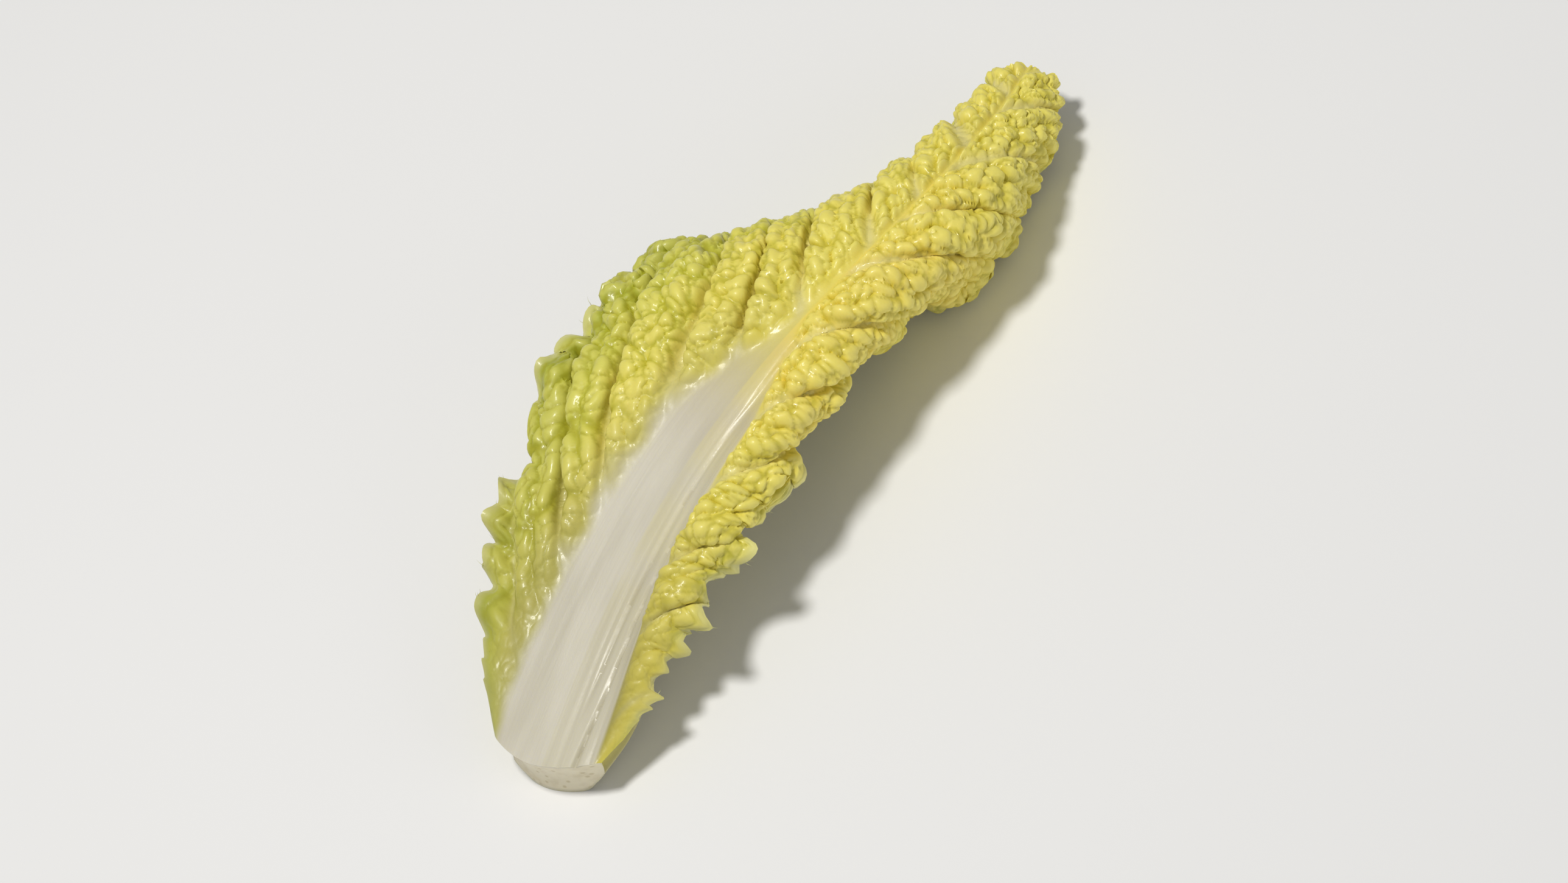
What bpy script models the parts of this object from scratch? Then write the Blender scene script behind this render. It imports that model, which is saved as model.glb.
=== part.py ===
"""A young leaf of napa cabbage, lying on its underside with its midrib's face upward.

The leaf is one natural piece: a thick white stalk that runs on as the midrib, a thin blade on
both sides with pleats between its side veins, blisters, ruffled and toothed margins, a right
half that is folded under and a tip that is bent down like a hood.

Axes: +Y runs from the cut base to the tip, +Z is up, the floor is at z = 0.
Units in this file are millimetres until the mesh is made, which is in metres.
"""

import bpy
import math
import numpy as np

# Length of the midrib's face, base to tip.
LENGTH = 134.5

# Places along the leaf, as shares of its length, at which the tables below are given.
STATION = (0.0, 0.08, 0.18, 0.30, 0.42, 0.54, 0.66, 0.78, 0.89, 1.0)

# Half width of the midrib, then the width of the blade to the left and right of it.
RIB_HALF = (7.4, 8.1, 7.8, 6.9, 5.7, 4.1, 2.5, 1.4, 0.9, 0.6)
LEFT_BLADE = (1.6, 7.5, 15.0, 22.0, 28.5, 32.5, 31.0, 25.4, 20.5, 9.5)
RIGHT_BLADE = (1.2, 5.5, 8.5, 10.5, 12.5, 16.0, 22.0, 24.0, 17.5, 7.5)

# Pitch and turn of the midrib in degrees, and the depth of its keel below the blade.
PITCH = (2, 8, 16, 18, 13, 4, -6, -15, -22, -28)
TURN = (-22, -15, -7, 1, 6, 6, 1, -7, -17, -30)
KEEL = (7.2, 7.2, 6.1, 4.8, 3.6, 2.6, 1.7, 1.0, 0.5, 0.2)
BASE_TOP = 7.5

# How far the rows of the grid fall back at the margins near the tip, which rounds the tip,
# and how far they run ahead at the left and right of the cut base, which slants and rounds it.
TIP_DROP = 2.5
BASE_RISE = (3.5, 2.0)

# Thickness of the blade.
BLADE = 0.75

# Slope of the blade in degrees, outward from the midrib, at shares of the blade's width.
SHARE = (0.0, 0.2, 0.4, 0.6, 0.8, 1.0)
LEFT_SLOPE = (
    (-2, -6, -10, -14, -18, -18),
    (0, -4, -9, -14, -16, -14),
    (2, 0, -6, -12, -16, -10),
    (2, 0, -6, -13, -20, -12),
    (0, -3, -9, -18, -27, -18),
    (-3, -7, -15, -27, -38, -26),
    (-6, -18, -36, -53, -58, -46),
    (-14, -36, -60, -70, -66, -52),
    (-14, -36, -58, -68, -70, -60),
    (-14, -26, -42, -54, -60, -60),
)
RIGHT_SLOPE = (
    (0, 0, -6, -14, -22, -26),
    (26, 32, 12, -14, -34, -40),
    (42, 44, 12, -26, -48, -50),
    (42, 34, -6, -44, -62, -60),
    (26, 0, -56, -96, -108, -104),
    (0, -50, -108, -130, -130, -122),
    (-8, -58, -110, -132, -132, -126),
    (-12, -46, -90, -112, -116, -110),
    (-20, -50, -84, -102, -108, -104),
    (-22, -42, -62, -74, -78, -78),
)

# Share of the grid's half width that is spent on half the midrib.
RIB_PART = (0.36, 0.30, 0.26, 0.21, 0.17, 0.13, 0.10, 0.08, 0.07, 0.07)

# Side veins leave the midrib at this angle, this far apart along it.
VEIN_ANGLE = math.radians(40)
VEIN_STEP = 12.5

# Grid of the faceted solid.
ROWS = 74
COLS = 19

FLOOR = 0.0


def through(x, xs, ys):
    """A smooth curve through the points (xs, ys), flat beyond its ends."""
    xs = np.asarray(xs, float)
    ys = np.asarray(ys, float)
    slopes = np.gradient(ys, xs, axis=0)
    x = np.clip(x, xs[0], xs[-1])
    i = np.clip(np.searchsorted(xs, x, side="right") - 1, 0, len(xs) - 2)
    h = xs[i + 1] - xs[i]
    t = (x - xs[i]) / h
    if ys.ndim == 2:
        h = h[:, None]
        t = t[:, None]
    return (
        (2 * t**3 - 3 * t**2 + 1) * ys[i]
        + (t**3 - 2 * t**2 + t) * h * slopes[i]
        + (3 * t**2 - 2 * t**3) * ys[i + 1]
        + (t**3 - t**2) * h * slopes[i + 1]
    )


def ramp(x, low, high):
    """Goes smoothly from 0 at low to 1 at high."""
    t = np.clip((x - low) / (high - low), 0, 1)
    return t * t * (3 - 2 * t)


def unit(a):
    return a / np.maximum(np.linalg.norm(a, axis=-1, keepdims=True), 1e-12)


def midrib_line():
    """The midrib's face line: shares, points, and its directions along and to the side."""
    s = np.linspace(0, 1, 801)
    pitch = np.radians(through(s, STATION, PITCH))
    turn = np.radians(through(s, STATION, TURN))
    along = np.stack(
        [np.sin(turn) * np.cos(pitch), np.cos(turn) * np.cos(pitch), np.sin(pitch)], -1
    )
    side = np.stack([np.cos(turn), -np.sin(turn), 0 * turn], -1)
    steps = (along[1:] + along[:-1]) / 2 * LENGTH / 800
    point = np.concatenate([np.zeros((1, 3)), np.cumsum(steps, 0)], 0)
    point[:, 2] += BASE_TOP
    return s, point, along, side


def sum_up(slope, width):
    """Adds up a slope, row by row, over a width: how far it goes sideways and up."""
    step = (width / (slope.shape[1] - 1))[:, None]
    start = np.zeros((len(slope), 1))
    cos = np.cos(slope)
    sin = np.sin(slope)
    out = np.cumsum((cos[:, 1:] + cos[:, :-1]) / 2, 1) * step
    lift = np.cumsum((sin[:, 1:] + sin[:, :-1]) / 2, 1) * step
    return np.concatenate([start, out], 1), np.concatenate([start, lift], 1)


def plain_form(s, v):
    """The leaf without its pleats, ruffles and blisters.

    s are the rows' shares of the length, v the columns from -1, the left margin, to 1.
    """
    line_s, line_p, line_a, line_d = midrib_line()
    rib = through(s, STATION, RIB_HALF)
    part = through(s, STATION, RIB_PART)
    k = np.linspace(0, 1, 161)
    points = np.zeros((len(s), len(v), 3))
    reach = np.zeros((len(s), len(v)))
    place = np.zeros((len(s), len(v)))
    sides = (
        (-1, LEFT_BLADE, LEFT_SLOPE, BASE_RISE[0]),
        (1, RIGHT_BLADE, RIGHT_SLOPE, BASE_RISE[1]),
    )
    for sign, blade, slopes, rise in sides:
        wide = through(s, STATION, blade)
        rows = through(s, STATION, slopes)
        slope = np.radians(np.stack([through(k, SHARE, r) for r in rows], 0))
        blade_x, blade_z = sum_up(slope, wide)
        rib_x, rib_z = sum_up(slope[:, :1] * k[None, :] ** 2, rib)
        for j, column in enumerate(v):
            if column * sign < 0 or (column == 0 and sign > 0):
                continue
            w = abs(column)
            on_rib = np.minimum(w / part, 1)
            on_blade = np.maximum((w - part) / (1 - part), 0)
            x = np.array([np.interp(t, k, r) for t, r in zip(on_rib, rib_x)])
            z = np.array([np.interp(t, k, r) for t, r in zip(on_rib, rib_z)])
            x += np.array([np.interp(t, k, r) for t, r in zip(on_blade, blade_x)])
            z += np.array([np.interp(t, k, r) for t, r in zip(on_blade, blade_z)])
            reach[:, j] = (on_rib - 1) * rib + on_blade * wide
            apart = (rib + reach[:, j]) / (rib + wide)
            at = s - TIP_DROP / LENGTH * ramp(s, 0.5, 1.0) * w**2
            at = at + rise / LENGTH * (1 - ramp(s, 0.0, 0.3)) * apart**2
            here = [
                np.stack([np.interp(at, line_s, a[:, i]) for i in range(3)], -1)
                for a in (line_p, line_a, line_d)
            ]
            up = unit(np.cross(here[2], here[1]))
            points[:, j] = here[0] + here[2] * (sign * x)[:, None] + up * z[:, None]
            place[:, j] = at * LENGTH
    return points, reach, place


def face_normals(points):
    across = np.gradient(points, axis=1)
    along = np.gradient(points, axis=0)
    return unit(np.cross(across, along))


def cells(x, y, seed):
    """Distance to the nearest of scattered points, about one to a unit square."""
    rng = np.random.default_rng(seed)
    jitter = rng.uniform(0.12, 0.88, (64, 64, 2))
    ix = np.floor(x).astype(int)
    iy = np.floor(y).astype(int)
    first = np.full(x.shape, 9.0)
    for dx in (-1, 0, 1):
        for dy in (-1, 0, 1):
            j = jitter[(ix + dx) % 64, (iy + dy) % 64]
            d = np.hypot(ix + dx + j[..., 0] - x, iy + dy + j[..., 1] - y)
            first = np.minimum(first, d)
    return first


def vein_number(y, blade, right):
    q = (y - blade / math.tan(VEIN_ANGLE)) / VEIN_STEP + 0.37 * right
    return q + 0.10 * np.sin(q * 2.3 + 1.0) + 0.05 * np.sin(blade * 0.31 + 2 * right)


def leaf_faces(s, v, blister, fine):
    """Upper and lower face of the leaf for rows s and columns v.

    blister is the size of the blisters, fine the depth of the smaller waves.
    """
    p, reach, y = plain_form(s, v)
    plain = face_normals(p)
    left = (v < 0)[None, :] * np.ones(reach.shape)
    right = 1 - left
    rib = through(s, STATION, RIB_HALF)[:, None]
    # The blistered blade closes over the midrib's upper part.
    blade = np.maximum(reach + rib * ramp(y, 56, 84), 0)
    wide = np.where(
        left > 0,
        through(s, STATION, LEFT_BLADE)[:, None],
        through(s, STATION, RIGHT_BLADE)[:, None],
    )
    margin = np.maximum(wide - np.maximum(reach, 0), 0)
    share = np.maximum(reach, 0) / wide

    # The side veins lie at whole numbers of q.
    q = vein_number(y, blade, right)
    q_margin = vein_number(y, wide, right)
    between = np.abs(np.sin(math.pi * q))

    # Ruffles lift and lower the margins, and swing them along the leaf.
    n = face_normals(p)
    along = unit(np.gradient(p, axis=0))
    deep = np.exp(-margin / 8.0) * ramp(share, 0.15, 0.9)
    swing = 2 * math.pi * y / 14.0 + 1.1 * np.sin(y * 0.09 + 2.2 * right) + 1.9 * right
    size = 2.0 + 0.7 * np.sin(y * 0.13 + 0.7 + 2.0 * right)
    size = size * np.where(left > 0, ramp(wide, 0, 26), ramp(wide, 0, 12))
    size = size * ramp(y, 2, 22) * (1 - 0.65 * ramp(y, 80, 104))
    wave = np.sin(swing) * size + fine * 0.8 * np.sin(2.3 * swing + 0.6)
    p = p + n * (deep * wave)[..., None]
    shift = 0.35 * size * (1 - ramp(y, 68, 90))
    p = p + along * (deep * np.cos(swing) * shift)[..., None]

    # Lobes and teeth push the margins out and in.
    out = unit(np.gradient(p, axis=1)) * np.where(left > 0, -1.0, 1.0)[..., None]
    bite = (y / 6.6 + 0.25 * np.sin(y * 0.21) + 0.4 * right) % 1.0
    lobe = np.abs(np.sin(math.pi * q_margin))
    tooth = 1.5 * (lobe**0.6 - 0.55) + 1.2 * (ramp(bite, 0, 0.6) - ramp(bite, 0.6, 1) - 0.4)
    tooth = tooth * ramp(y, 3, 16) * (1 - 0.9 * ramp(y, 104, 124))
    tooth = np.maximum(tooth, -0.1 * wide)
    p = p + out * (tooth * ramp(share, 0.6, 1.0))[..., None]

    # Pleats: the blade swells between the side veins.
    swell = ramp(blade, 0.5, 8) * (0.35 + 0.65 * ramp(y, 15, 50)) * (1 - 0.7 * ramp(y, 100, 124))
    n = face_normals(p)
    p = p + n * (1.9 * swell * (between**0.8 - 0.4))[..., None]

    # What hangs lowest rests on the floor.
    low = p[..., 2] - (FLOOR + 0.9)
    p[..., 2] = FLOOR + 0.9 + 0.7 * np.logaddexp(0, low / 0.7)

    # Blisters stand up from the upper face and are hollow below.
    n = face_normals(p)
    turn_x = y * math.sin(VEIN_ANGLE) - blade * math.cos(VEIN_ANGLE)
    turn_y = y * math.cos(VEIN_ANGLE) + blade * math.sin(VEIN_ANGLE) + 40 * right
    nearest = cells(turn_x / blister, turn_y / (1.25 * blister), 11)
    dome = np.clip(1 - (1.25 * nearest) ** 2, 0, 1)
    height = 0.17 * blister * dome * ramp(blade, 0.4, 5) * (0.5 + 0.5 * ramp(y, 10, 45))
    keel = through(np.clip(y / LENGTH, 0, 1), STATION, KEEL)
    rib = through(np.clip(y / LENGTH, 0, 1), STATION, RIB_HALF)
    inside = np.clip((reach + rib) / (rib * 1.25 + 1.2), 0, 1)
    depth = keel * (1 - inside**2.8)
    top = p + n * height[..., None]
    bottom = p - n * (BLADE - 0.7 * height)[..., None] - plain * depth[..., None]
    bottom[..., 2] = np.maximum(bottom[..., 2], FLOOR)
    return top, bottom


def leaf_mesh():
    s = np.linspace(0, 1, ROWS + 1)
    v = np.linspace(-1, 1, 2 * COLS + 1)
    # columns closer together at the margins, where the ruffles are
    v = np.sign(v) * (1.08 * np.abs(v) - 0.08 * np.abs(v) ** 2)
    top, bottom = leaf_faces(s, v, 6.4, 0.0)
    rows, cols = top.shape[:2]
    verts = np.concatenate([top.reshape(-1, 3), bottom.reshape(-1, 3)]) / 1000.0
    base = rows * cols

    def up(i, j):
        return i * cols + j

    def down(i, j):
        return base + i * cols + j

    faces = []
    for i in range(rows - 1):
        for j in range(cols - 1):
            a, b, c, d = (i, j), (i, j + 1), (i + 1, j + 1), (i + 1, j)
            if (i + j) % 2:
                pairs = ((a, b, c), (a, c, d))
            else:
                pairs = ((a, b, d), (b, c, d))
            for t in pairs:
                faces.append(tuple(up(*k) for k in t))
                faces.append(tuple(down(*k) for k in reversed(t)))
    ring = [(0, j) for j in range(cols)]
    ring += [(i, cols - 1) for i in range(1, rows)]
    ring += [(rows - 1, j) for j in range(cols - 2, -1, -1)]
    ring += [(i, 0) for i in range(rows - 2, 0, -1)]
    for k, here in enumerate(ring):
        there = ring[(k + 1) % len(ring)]
        faces.append((up(*here), down(*here), down(*there)))
        faces.append((up(*here), down(*there), up(*there)))
    return verts, faces


def main():
    for item in list(bpy.data.objects):
        bpy.data.objects.remove(item, do_unlink=True)
    verts, faces = leaf_mesh()
    low = verts.min(0)
    high = verts.max(0)
    verts = verts - np.array([(low[0] + high[0]) / 2, (low[1] + high[1]) / 2, low[2]])
    mesh = bpy.data.meshes.new("leaf")
    mesh.from_pydata([tuple(p) for p in verts], [], faces)
    mesh.update()
    leaf = bpy.data.objects.new("leaf", mesh)
    bpy.context.scene.collection.objects.link(leaf)
    green = bpy.data.materials.new("leaf flesh")
    green.use_nodes = True
    shader = green.node_tree.nodes["Principled BSDF"]
    shader.inputs["Base Color"].default_value = (0.72, 0.70, 0.20, 1.0)
    shader.inputs["Roughness"].default_value = 0.45
    mesh.materials.append(green)


main()
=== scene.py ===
"""Looks for a young leaf of napa cabbage: the finely blistered leaf, its hairs and its stage.

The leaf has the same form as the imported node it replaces, worked out on a finer grid, with
small blisters, veins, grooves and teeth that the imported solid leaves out.
Lengths are millimetres in the sizes below and in the leaf's own form, metres in the scene.
"""

import math
from types import SimpleNamespace

import bpy
import numpy as np
from mathutils import Matrix, Vector


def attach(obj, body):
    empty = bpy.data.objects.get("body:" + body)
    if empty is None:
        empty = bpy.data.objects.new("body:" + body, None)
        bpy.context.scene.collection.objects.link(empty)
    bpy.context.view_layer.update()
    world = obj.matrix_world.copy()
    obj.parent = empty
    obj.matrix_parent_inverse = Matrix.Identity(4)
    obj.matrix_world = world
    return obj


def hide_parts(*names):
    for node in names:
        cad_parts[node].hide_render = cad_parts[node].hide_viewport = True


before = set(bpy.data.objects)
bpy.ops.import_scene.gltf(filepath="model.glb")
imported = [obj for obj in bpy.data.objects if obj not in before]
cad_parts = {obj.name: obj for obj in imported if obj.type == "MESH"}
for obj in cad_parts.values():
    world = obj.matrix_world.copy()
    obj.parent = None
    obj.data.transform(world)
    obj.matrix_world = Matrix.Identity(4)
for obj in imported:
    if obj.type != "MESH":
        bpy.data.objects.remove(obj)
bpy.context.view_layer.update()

bl_info = {
    "name": "Napa cabbage leaf",
    "version": (1, 0, 0),
    "blender": (4, 5, 0),
    "location": "3D View > Sidebar > Leaf",
    "description": "Builds a young napa cabbage leaf with its hairs and a plain stage",
    "category": "Object",
}

# Where the leaf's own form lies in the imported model's frame, in millimetres.
FORM_SHIFT = (14.615, -63.655, 0.0)

# Length of the midrib's face, base to tip.
LENGTH = 134.5

# Places along the leaf, as shares of its length, at which the tables below are given.
STATION = (0.0, 0.08, 0.18, 0.30, 0.42, 0.54, 0.66, 0.78, 0.89, 1.0)

# Half width of the midrib, then the width of the blade to the left and right of it.
RIB_HALF = (7.4, 8.1, 7.8, 6.9, 5.7, 4.1, 2.5, 1.4, 0.9, 0.6)
LEFT_BLADE = (1.6, 7.5, 15.0, 22.0, 28.5, 32.5, 31.0, 25.4, 20.5, 9.5)
RIGHT_BLADE = (1.2, 5.5, 8.5, 10.5, 12.5, 16.0, 22.0, 24.0, 17.5, 7.5)

# Pitch and turn of the midrib in degrees, and the depth of its keel below the blade.
PITCH = (2, 8, 16, 18, 13, 4, -6, -15, -22, -28)
TURN = (-22, -15, -7, 1, 6, 6, 1, -7, -17, -30)
KEEL = (7.2, 7.2, 6.1, 4.8, 3.6, 2.6, 1.7, 1.0, 0.5, 0.2)
BASE_TOP = 7.5

# How far the rows of the grid fall back at the margins near the tip, which rounds the tip,
# and how far they run ahead at the left and right of the cut base, which slants and rounds it.
TIP_DROP = 2.5
BASE_RISE = (3.5, 2.0)

# Slope of the blade in degrees, outward from the midrib, at shares of the blade's width.
SHARE = (0.0, 0.2, 0.4, 0.6, 0.8, 1.0)
LEFT_SLOPE = (
    (-2, -6, -10, -14, -18, -18),
    (0, -4, -9, -14, -16, -14),
    (2, 0, -6, -12, -16, -10),
    (2, 0, -6, -13, -20, -12),
    (0, -3, -9, -18, -27, -18),
    (-3, -7, -15, -27, -38, -26),
    (-6, -18, -36, -53, -58, -46),
    (-14, -36, -60, -70, -66, -52),
    (-14, -36, -58, -68, -70, -60),
    (-14, -26, -42, -54, -60, -60),
)
RIGHT_SLOPE = (
    (0, 0, -6, -14, -22, -26),
    (26, 32, 12, -14, -34, -40),
    (42, 44, 12, -26, -48, -50),
    (42, 34, -6, -44, -62, -60),
    (26, 0, -56, -96, -108, -104),
    (0, -50, -108, -130, -130, -122),
    (-8, -58, -110, -132, -132, -126),
    (-12, -46, -90, -112, -116, -110),
    (-20, -50, -84, -102, -108, -104),
    (-22, -42, -62, -74, -78, -78),
)

# Share of the grid's half width that is spent on half the midrib.
RIB_PART = (0.36, 0.30, 0.26, 0.21, 0.17, 0.13, 0.10, 0.08, 0.07, 0.07)

# The blistered blade closes over the midrib between these places along it.
CLOSING = (53, 78)

# Side veins leave the midrib at this angle, this far apart along it.
VEIN_ANGLE = math.radians(40)
VEIN_STEP = 12.5

# Long grooves in the midrib's face: place across it from -1 to 1, depth, start and end;
# and how wide each is from its middle.
GROOVES = (
    (-0.70, 0.06, 8.0, 60.0),
    (0.05, 0.05, -20.0, 52.0),
    (0.30, 0.12, -20.0, 74.0),
    (0.45, 0.42, 6.0, 84.0),
    (0.54, 0.20, 22.0, 84.0),
    (0.66, 0.48, -20.0, 76.0),
    (0.80, 0.30, 10.0, 80.0),
    (0.91, 0.34, -20.0, 76.0),
)
GROOVE_WIDTH = 0.34

# Steps along the leaf of the ruffles, small waves, teeth and nicks at the margins.
RUFFLE_STEP = 14.0
WAVE_STEP = 5.6
TOOTH_STEP = 6.6
NICK_STEP = 3.4

# Height of the ruffles, depth of the lobes and teeth, and how far out these may reach.
RUFFLE_HEIGHT = 2.0
LOBE_DEPTH = 1.5
TOOTH_DEPTH = 1.2
TOOTH_MOST = 1.6

# Height of the pleats between the side veins, and of the narrower columns along them.
PLEAT_HEIGHT = 1.9
COLUMN_HEIGHT = 0.85

# The lowest parts of the blade level out this far above the floor, this softly.
FLOOR_GAP = 0.9
FLOOR_EASE = 0.7

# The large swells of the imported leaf, which the small blisters stand on.
SWELL_SIZE = 6.4
SWELL_HEIGHT = 0.17 * SWELL_SIZE

# Long smooth puckers low on the blade, and shallow dents in the wing beside the stalk.
PUCKER_SIZE = 3.9
DENT_SIZE = 1.9
DENT_HEIGHT = 0.09

# Valleys at the side veins, the ridge of each vein in its valley, and its rib underneath.
VALLEY_WIDTH = 1.25
RIDGE_HEIGHT = 0.22
UNDER_RIB_HEIGHT = 0.5

# The upper face has this many rows and columns to each one of the lower face. The triangles
# round the margin, which join the two, are laid out for 3.
FINE = 3

# Steps down the cut face at the base, the depth of its hollow as a share of its height
# and the most height that counts.
CUT_ROWS = 10
CUT_HOLLOW = 0.15
CUT_MOST = 4.0

# Steps along the midrib's line, and across half of it and across the blade beside it.
LINE_STEPS = 800
WIDTH_STEPS = 160

# Side of the table of scattered points, one point to each unit square.
TABLE_SIDE = 64

# Edges sharper than this stay sharp.
SHARP_ANGLE = math.radians(66)

# Radius of a hair at its foot and at its middle.
HAIR_RADIUS = (0.055, 0.035)

# The lights, in metres from the camera's aim: to its right, up and back towards it.
KEY_PLACE = (-0.34, 0.38, 0.62)
KEY_SIZE = 0.14
KEY_COLOUR = (1.0, 0.985, 0.95)
FILL_PLACE = (0.7, -0.1, 0.6)
FILL_SIZE = 0.6
FILL_COLOUR = (0.95, 0.98, 1.0)

# Width of the camera's sensor, in millimetres.
SENSOR_WIDTH = 36.0


def through(x, xs, ys):
    """A smooth curve through the points (xs, ys), flat beyond its ends."""
    xs = np.asarray(xs, float)
    ys = np.asarray(ys, float)
    slopes = np.gradient(ys, xs, axis=0)
    x = np.clip(x, xs[0], xs[-1])
    i = np.clip(np.searchsorted(xs, x, side="right") - 1, 0, len(xs) - 2)
    h = xs[i + 1] - xs[i]
    t = (x - xs[i]) / h
    if ys.ndim == 2:
        h = h[:, None]
        t = t[:, None]
    return (
        (2 * t**3 - 3 * t**2 + 1) * ys[i]
        + (t**3 - 2 * t**2 + t) * h * slopes[i]
        + (3 * t**2 - 2 * t**3) * ys[i + 1]
        + (t**3 - t**2) * h * slopes[i + 1]
    )


def ramp(x, low, high):
    """Goes smoothly from 0 at low to 1 at high."""
    t = np.clip((x - low) / (high - low), 0, 1)
    return t * t * (3 - 2 * t)


def unit(a):
    """Vectors of length one."""
    return a / np.maximum(np.linalg.norm(a, axis=-1, keepdims=True), 1e-12)


def midrib_line():
    """The midrib's face line: shares, points, and its directions along and to the side."""
    s = np.linspace(0, 1, LINE_STEPS + 1)
    pitch = np.radians(through(s, STATION, PITCH))
    turn = np.radians(through(s, STATION, TURN))
    along = np.stack(
        [np.sin(turn) * np.cos(pitch), np.cos(turn) * np.cos(pitch), np.sin(pitch)], -1
    )
    side = np.stack([np.cos(turn), -np.sin(turn), 0 * turn], -1)
    steps = (along[1:] + along[:-1]) / 2 * LENGTH / LINE_STEPS
    point = np.concatenate([np.zeros((1, 3)), np.cumsum(steps, 0)], 0)
    point[:, 2] += BASE_TOP
    return s, point, along, side


def sum_up(slope, width):
    """Adds up a slope, row by row, over a width: how far it goes sideways and up."""
    step = (width / (slope.shape[1] - 1))[:, None]
    start = np.zeros((len(slope), 1))
    cos = np.cos(slope)
    sin = np.sin(slope)
    out = np.cumsum((cos[:, 1:] + cos[:, :-1]) / 2, 1) * step
    lift = np.cumsum((sin[:, 1:] + sin[:, :-1]) / 2, 1) * step
    return np.concatenate([start, out], 1), np.concatenate([start, lift], 1)


def plain_form(s, v):
    """The leaf without its pleats, ruffles and blisters.

    s are the rows' shares of the length, v the columns from -1, the left margin, to 1.
    """
    line_s, line_p, line_a, line_d = midrib_line()
    rib = through(s, STATION, RIB_HALF)
    part = through(s, STATION, RIB_PART)
    k = np.linspace(0, 1, WIDTH_STEPS + 1)
    points = np.zeros((len(s), len(v), 3))
    reach = np.zeros((len(s), len(v)))
    place = np.zeros((len(s), len(v)))
    sides = (
        (-1, LEFT_BLADE, LEFT_SLOPE, BASE_RISE[0]),
        (1, RIGHT_BLADE, RIGHT_SLOPE, BASE_RISE[1]),
    )
    for sign, blade, slopes, rise in sides:
        wide = through(s, STATION, blade)
        rows = through(s, STATION, slopes)
        slope = np.radians(np.stack([through(k, SHARE, r) for r in rows], 0))
        blade_x, blade_z = sum_up(slope, wide)
        rib_x, rib_z = sum_up(slope[:, :1] * k[None, :] ** 2, rib)
        for j, column in enumerate(v):
            if column * sign < 0 or (column == 0 and sign > 0):
                continue
            w = abs(column)
            on_rib = np.minimum(w / part, 1)
            on_blade = np.maximum((w - part) / (1 - part), 0)
            x = np.array([np.interp(t, k, r) for t, r in zip(on_rib, rib_x)])
            z = np.array([np.interp(t, k, r) for t, r in zip(on_rib, rib_z)])
            x += np.array([np.interp(t, k, r) for t, r in zip(on_blade, blade_x)])
            z += np.array([np.interp(t, k, r) for t, r in zip(on_blade, blade_z)])
            reach[:, j] = (on_rib - 1) * rib + on_blade * wide
            apart = (rib + reach[:, j]) / (rib + wide)
            at = s - TIP_DROP / LENGTH * ramp(s, 0.5, 1.0) * w**2
            at = at + rise / LENGTH * (1 - ramp(s, 0.0, 0.3)) * apart**2
            here = [
                np.stack([np.interp(at, line_s, a[:, i]) for i in range(3)], -1)
                for a in (line_p, line_a, line_d)
            ]
            up = unit(np.cross(here[2], here[1]))
            points[:, j] = here[0] + here[2] * (sign * x)[:, None] + up * z[:, None]
            place[:, j] = at * LENGTH
    return points, reach, place


def columns(left, right):
    """Columns of the grid: -1 is the left margin, 0 the midrib's middle and 1 the right margin."""
    v = np.concatenate([-np.linspace(1, 0, left + 1)[:-1], np.linspace(0, 1, right + 1)])
    return np.sign(v) * (1.08 * np.abs(v) - 0.08 * np.abs(v) ** 2)


def face_normals(points):
    """Upward normals of a grid of points."""
    across = np.gradient(points, axis=1)
    along = np.gradient(points, axis=0)
    return unit(np.cross(across, along))


def cells(x, y, seed):
    """Distances to the nearest and next of scattered points, one to a unit square."""
    rng = np.random.default_rng(seed)
    jitter = rng.uniform(0.12, 0.88, (TABLE_SIDE, TABLE_SIDE, 2))
    ix = np.floor(x).astype(int)
    iy = np.floor(y).astype(int)
    first = np.full(x.shape, 9.0)
    second = np.full(x.shape, 9.0)
    for dx in (-1, 0, 1):
        for dy in (-1, 0, 1):
            j = jitter[(ix + dx) % TABLE_SIDE, (iy + dy) % TABLE_SIDE]
            d = np.hypot(ix + dx + j[..., 0] - x, iy + dy + j[..., 1] - y)
            second = np.minimum(second, np.maximum(first, d))
            first = np.minimum(first, d)
    return first, second


def cobbles(x, y, size, longer, seed):
    """Rounded cells with narrow creases between them: their height and their creases."""
    wander_x = x + 0.5 * np.sin(y * 0.62 + 0.7) + 0.25 * np.sin(y * 1.7 + x)
    wander_y = y + 0.6 * np.sin(x * 0.55 + 1.0) + 0.25 * np.sin(x * 1.9)
    first, second = cells(wander_x / size, wander_y / (longer * size), seed)
    apart = second - first
    pillow = 1 - (1 - np.clip(apart / 0.42, 0, 1)) ** 2
    round_top = 1 - np.clip(first * 1.1, 0, 1) ** 2
    return 0.7 * pillow + 0.8 * round_top - 0.5, 1 - ramp(apart, 0.0, 0.16)


def around(values, reach, how):
    """Takes the mean or least of each grid point's neighbours, up to reach steps away."""
    edges = [(reach, reach), (reach, reach)] + [(0, 0)] * (values.ndim - 2)
    wide = np.pad(values, edges, mode="edge")
    rows, width = values.shape[:2]
    steps = range(2 * reach + 1)
    return how([wide[i : i + rows, j : j + width] for i in steps for j in steps], axis=0)


def vein_number(y, blade, right):
    """Number of the side vein at a place, whole on a vein and broken between two."""
    q = (y - blade / math.tan(VEIN_ANGLE)) / VEIN_STEP + 0.37 * right
    return q + 0.10 * np.sin(q * 2.3 + 1.0) + 0.05 * np.sin(blade * 0.31 + 2 * right)


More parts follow.
